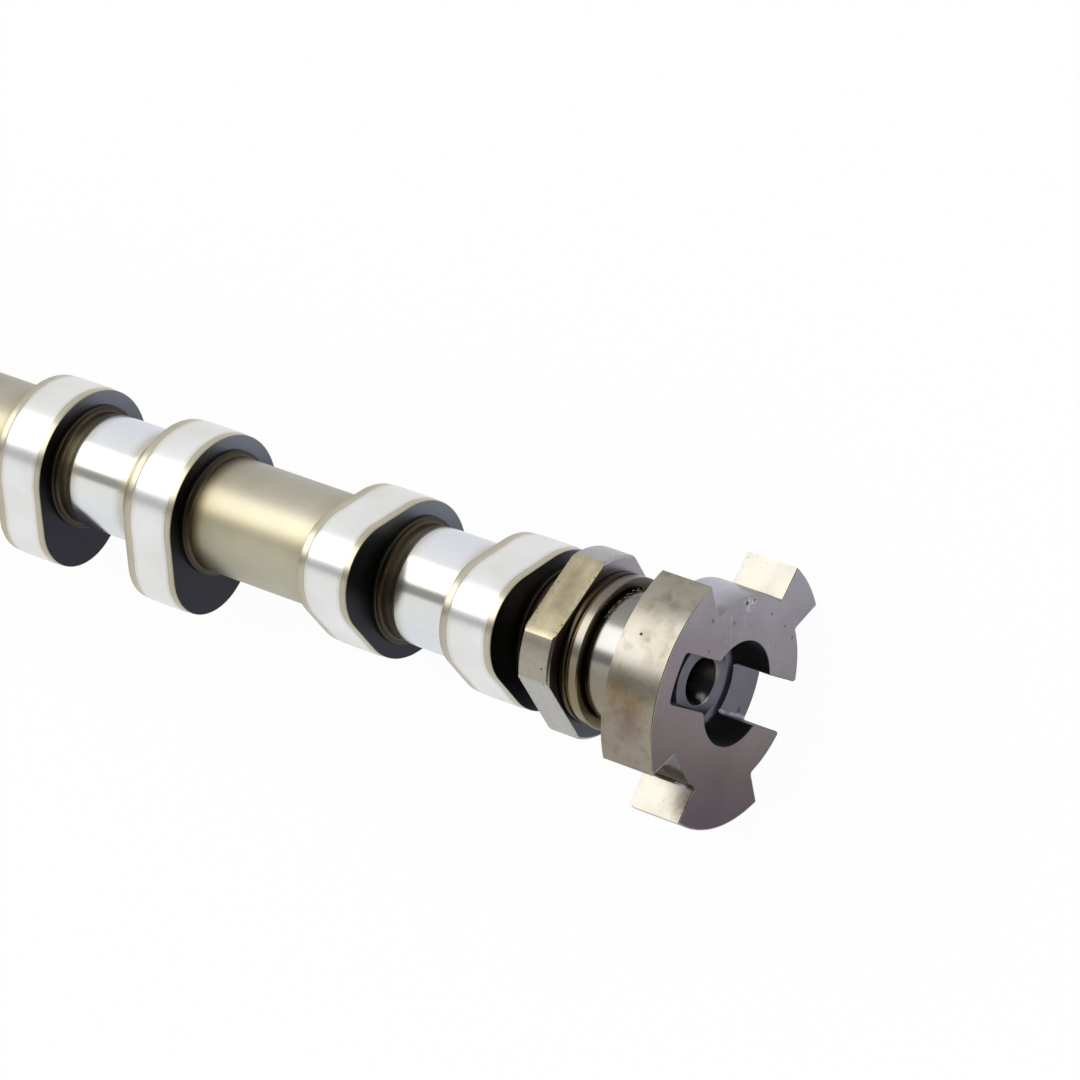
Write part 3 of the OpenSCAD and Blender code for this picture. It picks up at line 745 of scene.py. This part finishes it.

# Tops of the teeth: turned, handled and yellowed, with brown and purple patches, smudges and a pit,
# and painted shade towards -y.
rim_iron, tree, shader, place = metal("turned_iron_wheel_rim")
cloud = add(tree, "TexNoise", {"Vector": place, "Scale": 75.0, "Detail": 5.0, "Distortion": 0.5})
colour = add(tree, "ValToRGB", {"Fac": cloud}, [
    (0.3, "#938C7E"), (0.46, "#999488"), (0.6, "#9F9B90"), (0.8, "#A5A399")])
colour = clouded(tree, place, colour, 420.0, 4.0, [(0.5, "#FFFFFF"), (0.75, "#E2DFD8")], Distortion=0.4)
# Painted shade: darker towards -y, lightest about y = 0.
painted_light = graded(tree, place, "Y", -20, 20, [
    (0.0, "#EAE5E1"), (0.33, "#EFE9E2"), (0.5, "#FFFFFF"), (1.0, "#F8F8F8")])
colour = add(tree, "Mix", {"Factor": 1.0, "A": colour, "B": painted_light}, **TINT)
colour = marked(tree, place, colour, [
    ("#EBD9C3", 0.7, [(346.8, -5.4, 26.0, 3.0), (350.5, -7.0, 25.6, 2.6)]),
    ("#E6DDE0", 0.7, [(350.0, -11.3, 24.1, 2.4)]),
    ("#DAD7D6", 0.8, [(348.3, 13.2, 23.1, 0.9), (351.4, 12.3, 23.6, 0.9), (349.5, 5.0, 26.1, 0.5)]),
    ("#4A4640", 0.35, [(347.6, 5.6, 26.0, 0.32)]),
], TINT)
rough = add(tree, "MapRange",
            {"Value": cloud, "From Min": 0.3, "From Max": 0.7, "To Min": 0.3, "To Max": 0.23})
grain = add(tree, "TexNoise", {"Vector": place, "Scale": 500.0, "Detail": 5.0})
bump = add(tree, "Bump", {"Height": grain, "Strength": 0.08, "Distance": 0.00005})
add(tree, shader, {"Base Color": colour, "Roughness": rough, "Normal": bump})

# End face: milled flat and darkened by its rust-proofing, a mid purple grey, with painted shade that
# makes it darker and browner towards -y, with pits, a chipped place below the narrow tooth, and
# scratches where parts were slid over it.
end_iron, tree, shader, place = metal("darkened_iron_end_face")
# Painted shade: darker and browner towards -y.
colour = graded(tree, place, "Y", -26, 26, [
    (0.0, "#5A4F5A"), (0.2, "#6A6061"), (0.33, "#7D7474"),
    (0.5, "#8D8689"), (0.75, "#959198"), (1.0, "#A09FA9")])
colour = clouded(tree, place, colour, 70.0, 5.0, [(0.35, "#EDE9EC"), (0.65, "#FFFFFF")])
colour = clouded(tree, place, colour, 1400.0, 3.0, [(0.3, "#F6F5F5"), (0.6, "#FFFFFF")])
slanted = add(tree, "Mapping", {"Vector": place, "Rotation": (math.radians(-27), 0, 0)})
slanted = add(tree, "Mapping", {"Vector": slanted, "Scale": (50, 260, 2200)})
lines = add(tree, "TexNoise", {"Vector": slanted, "Scale": 1.0, "Detail": 2.0, "Distortion": 0.3})
lines = add(tree, "MapRange", {"Value": lines, "From Min": 0.6, "From Max": 0.72, "To Max": 0.7})
scratched = near(tree, place, [(355.2, 11.4, 8.0, 3.0), (355.2, 9.4, -5.6, 0.9)], 0.5)
scratches = add(tree, "Math", {0: lines, 1: scratched}, operation="MULTIPLY")
torn = add(tree, "TexNoise", {"Vector": place, "Scale": 2600.0, "Detail": 2.0})
torn = add(tree, "MapRange", {"Value": torn, "From Min": 0.5, "From Max": 0.6})
scribble = near(tree, place, [(355.2, 17.2, 5.6, 1.6)], 0.6)
scribble = add(tree, "Math", {0: torn, 1: scribble}, operation="MULTIPLY")
bright = add(tree, "Math", {0: scratches, 1: scribble}, operation="MAXIMUM")
colour = add(tree, "Mix", {"Factor": bright, "A": colour, "B": "#C3C2C8"}, **OVER)
colour = marked(tree, place, colour, [
    ("#4B4A50", 0.8, [(355.2, 16.1, -3.0, 0.26), (355.2, 14.6, -8.8, 0.24), (355.2, 12.8, -12.6, 0.24),
                      (355.2, 11.8, 16.0, 0.34), (355.2, 6.3, 14.1, 0.26), (355.2, 12.5, 8.6, 0.26)]),
    ("#2C2927", 0.35, [(355.2, 16.7, 6.6, 0.4), (355.2, 17.7, 4.4, 0.22)]),
])
add(tree, shader, {"Base Color": colour})

# Slot walls: milled into the dark skin, seen nearly black from the front.
wall_iron, tree, shader, place = metal("darkened_iron_slot_wall", 0.45)
wall = add(tree, "Mapping", {"Vector": place, "Scale": (140, 400, 400)})
wall = clouds(tree, wall, 1.0, 4.0, [(0.3, "#5E5B5D"), (0.7, "#6B6769")])
add(tree, shader, {"Base Color": wall})

# Slot floor, and the round work in it, with painted shade that is darker and browner the deeper it
# goes. In the centre hole a grey patch of painted reflection and a bright painted glint.
floor_iron, tree, shader, place = metal("darkened_iron_slot_floor", 0.33)
painted_depth_shade = add(tree, "Attribute", attribute_name="painted_depth_shade").outputs["Fac"]
flat = clouds(tree, place, 90.0, 4.0, [(0.3, "#6B6974"), (0.7, "#777581")])
deep_painted_shade = clouds(tree, place, 260.0, 4.0, [(0.48, "#0D0B0B"), (0.72, "#3D3732")])
colour = add(tree, "Mix", {"Factor": painted_depth_shade, "A": flat, "B": deep_painted_shade}, **OVER)
# A pit on the floor, and in the centre hole a grey patch of painted reflection.
colour = marked(tree, place, colour, [
    ("#3A3940", 0.8, [(346.9, -3.5, -16.1, 0.45)]),
    ("#8E8782", 0.5, [(346.15, 2.0, -4.0, 1.3)]),
])
# The bright spot is a painted glint, with a rougher finish.
painted_glint = near(tree, place, [(346.1, -2.94, -3.2, 0.85)], 0.6)
colour = add(tree, "Mix", {"Factor": painted_glint, "A": colour, "B": "#FFFCF8"}, **OVER)
rough = add(tree, "MapRange", {"Value": painted_glint, "To Min": 0.33, "To Max": 0.65})
add(tree, shader, {"Base Color": colour, "Roughness": rough})

# Between the teeth: milled and darkened like the end face, lavender at the back and greyer towards
# the end face, with painted shade, olive and brown, in the corners at the feet of the teeth.
root_iron, tree, shader, place = metal("darkened_iron_tooth_root", 0.28)
colour = clouds(tree, place, 110.0, 4.0, [(0.3, "#A5A4AF"), (0.7, "#B2B1BC")])
greyer = graded(tree, place, "X", 349.5, 354.5, [(0.0, "#FFFFFF"), (1.0, "#D2D3CC")])
colour = add(tree, "Mix", {"Factor": 1.0, "A": colour, "B": greyer}, **TINT)
# Painted shade in the corners at the feet of the teeth.
colour = marked(tree, place, colour, [
    ("#7C7976", 0.8, [(354.3, 13.8, 13.6, 1.5)]),
    ("#6C6A6C", 0.4, [(354.3, -14.6, 12.7, 2.2)]),
    ("#463F36", 0.3, [(352.9, -17.4, 8.4, 3.6), (348.5, -18.5, 5.4, 3.4), (354.6, -18.7, 5.0, 1.6)]),
])
add(tree, shader, {"Base Color": colour})

# Sides of the teeth: milled last and left bare, a pale ivory with a few fine dark specks.
side_iron, tree, shader, place = metal("milled_iron_tooth_side")
colour = clouds(tree, place, 150.0, 4.0, [(0.3, "#9F9A90"), (0.7, "#ADA99E")])
specks = add(tree, "TexNoise", {"Vector": place, "Scale": 2100.0, "Detail": 1.0})
specks = add(tree, "MapRange", {"Value": specks, "From Min": 0.73, "From Max": 0.77, "To Max": 0.7})
colour = add(tree, "Mix", {"Factor": specks, "A": colour, "B": "#4E4A44"}, **OVER)
colour = marked(tree, place, colour, [("#665D51", 0.7, [(356.2, -22.5, 4.8, 2.8)])])
add(tree, shader, {"Base Color": colour})

wheel_irons = [rim_iron, end_iron, wall_iron, floor_iron, root_iron, side_iron]
piece("trigger_wheel", np.vstack(points), faces, {"painted_depth_shade": np.concatenate(painted_shade_values)},
      wheel_irons, np.concatenate(finish_of), sharp=30)

# The milling cutter's nose left a cove along the foot of both slot walls, outside the recess. Its
# section is a corner filled by a hollow quarter circle, swept along the wall and a hair inside it.
COVE_R, COVE_SINK, COVE_STEPS = 0.8, 0.04, 8
wall_foot = one_side[: recess_start - 5]  # it ends part of the way round the recess rounding
run_along = np.gradient(wall_foot, axis=0)
run_along /= np.linalg.norm(run_along, axis=1, keepdims=True)
into_slot = np.stack([run_along[:, 1], -run_along[:, 0]], 1)
into_slot *= -np.sign(into_slot[len(into_slot) // 2, 1])
a = np.linspace(0, np.pi / 2, COVE_STEPS)
hollow_arc = COVE_R * np.stack([1 - np.sin(a), 1 - np.cos(a)], 1)
section = np.vstack([[[-COVE_SINK, -COVE_SINK], [COVE_R, -COVE_SINK]], hollow_arc, [[-COVE_SINK, COVE_R]]])
# The lower cove is lighter, a painted highlight in soft grey patches; the upper one is as dark as the
# floor.
cove_with_painted_highlight, tree, shader, place = metal("burnished_cove_painted_highlight", 0.22)
colour = clouds(tree, place, 500.0, 4.0, [(0.36, "#56545D"), (0.68, "#9A98A5")])
add(tree, shader, {"Base Color": colour})
for side, sign, iron in (("upper", 1, floor_iron), ("lower", -1, cove_with_painted_highlight)):
    swept = wall_foot[:, None] + section[None, :, :1] * into_slot[:, None]
    flat_points = turned_by(swept.reshape(-1, 2) * [1, sign], SLOT_ANGLE)
    points = np.column_stack([floor_x + np.tile(section[:, 1], len(wall_foot)), flat_points])
    n = len(section)
    ends = [list(range(n)), list(range(len(points) - n, len(points)))]
    faces = grid_faces(len(wall_foot), n).tolist() + ends
    piece(f"slot_cove_{side}", points, faces, {"painted_depth_shade": np.zeros(len(points))}, [iron])


# STUDIO: a plain white floor that the shaft lies on, white all round, one soft lamp over its left
# end, a grey card beside the lamp and a black card behind the camera, as for any bright metal. Sizes
# are in metres here.
FLOOR_Z, FLOOR_HALF = -0.0215, 8.0
CARD_R, CARD_STEPS = 2.0, 33
LAMP_X, LAMP_R, LAMP_ANGLE = -1.15, 2.0, math.radians(71.0)
# The camera worked out from the photograph: its place, and its right, up and forward.
CAMERA_PLACE, CAMERA_LENS = (0.836346, 0.034953, 0.790427), 165.963
RIGHT, UP = (0.78417, 0.31035, -0.53737), (-0.26825, 0.95040, 0.15744)
FORWARD = (-0.55957, -0.02069, -0.82852)

white_floor = bpy.data.materials.new("white_studio_floor")
white_floor.use_nodes = True
tree = white_floor.node_tree
tree.nodes.clear()
path = add(tree, "LightPath")
matt = add(tree, "BsdfDiffuse", {"Color": "#DADADA"})
lit = add(tree, "Emission", {"Color": "#FFFFFF", "Strength": 1.0})
seen = add(tree, "Math",
           {0: path.outputs["Is Camera Ray"], 1: path.outputs["Is Transmission Ray"]}, operation="ADD")
mirrored = add(tree, "Math", {0: path.outputs["Is Glossy Ray"], 1: 0.6}, operation="MULTIPLY")
part = add(tree, "Math", {0: seen, 1: 0.96, 2: mirrored}, operation="MULTIPLY_ADD", use_clamp=True)
both = add(tree, "MixShader", {0: part, 1: matt, 2: lit})
add(tree, "OutputMaterial", {"Surface": both})
mesh = bpy.data.meshes.new("floor")
corners = [(x * FLOOR_HALF, y * FLOOR_HALF, FLOOR_Z) for x, y in ((-1, -1), (1, -1), (1, 1), (-1, 1))]
mesh.from_pydata(corners, [], [(0, 1, 2, 3)])
mesh.materials.append(white_floor)
floor = placed("floor", mesh)

world = bpy.data.worlds.new("white_room")
bpy.context.scene.world = world
world.use_nodes = True
background = world.node_tree.nodes["Background"]
add(world.node_tree, background, {"Color": "#FFFFFF", "Strength": 1.0})


def card(name, angles, xs, strength):
    """A card that metal mirrors and nothing else sees: part of a tube about the shaft, between two
    angles and two places along it, in metres, giving off one even grey."""
    material = bpy.data.materials.new(name)
    material.use_nodes = True
    tree = material.node_tree
    tree.nodes.clear()
    glow = add(tree, "Emission", {"Color": "#FFFFFF", "Strength": strength})
    add(tree, "OutputMaterial", {"Surface": glow})
    t = np.radians(np.linspace(*angles, CARD_STEPS))[None]
    x = np.array(xs)[:, None]
    mesh = bpy.data.meshes.new(name)
    mesh.from_pydata(spun(x, CARD_R + 0 * x, t), [], grid_faces(2, CARD_STEPS, closed=False))
    mesh.materials.append(material)
    made = placed(name, mesh)
    made.visible_camera = made.visible_diffuse = made.visible_shadow = made.visible_transmission = False


card("grey_card", (97.5, 115.5), (-5.0, 0.0), 0.32)
card("black_card", (25.0, 155.0), (0.35, 6.0), 0.08)

lamp_data = bpy.data.lights.new("soft_lamp", "AREA")
lamp_data.shape, lamp_data.size, lamp_data.size_y, lamp_data.energy = "RECTANGLE", 3.4, 1.6, 33.0
lamp = placed("soft_lamp", lamp_data)
lengthwise = Vector((1, 0, 0))
outwards = Vector((0, math.cos(LAMP_ANGLE), math.sin(LAMP_ANGLE)))
lamp.location = LAMP_X * lengthwise + LAMP_R * outwards
lamp.rotation_mode = "QUATERNION"
axes = Matrix([lengthwise, outwards.cross(lengthwise), outwards])
lamp.rotation_quaternion = axes.transposed().to_quaternion()

camera_data = bpy.data.cameras.new("camera")
camera_data.sensor_width, camera_data.lens = 36.0, CAMERA_LENS
camera_data.clip_start, camera_data.clip_end = 0.05, 30.0
camera = placed("camera", camera_data)
axes = Matrix([RIGHT, UP, [-v for v in FORWARD]])
camera.matrix_world = Matrix.Translation(CAMERA_PLACE) @ axes.transposed().to_4x4()
bpy.context.scene.camera = camera
bpy.context.scene.view_settings.view_transform = "Standard"
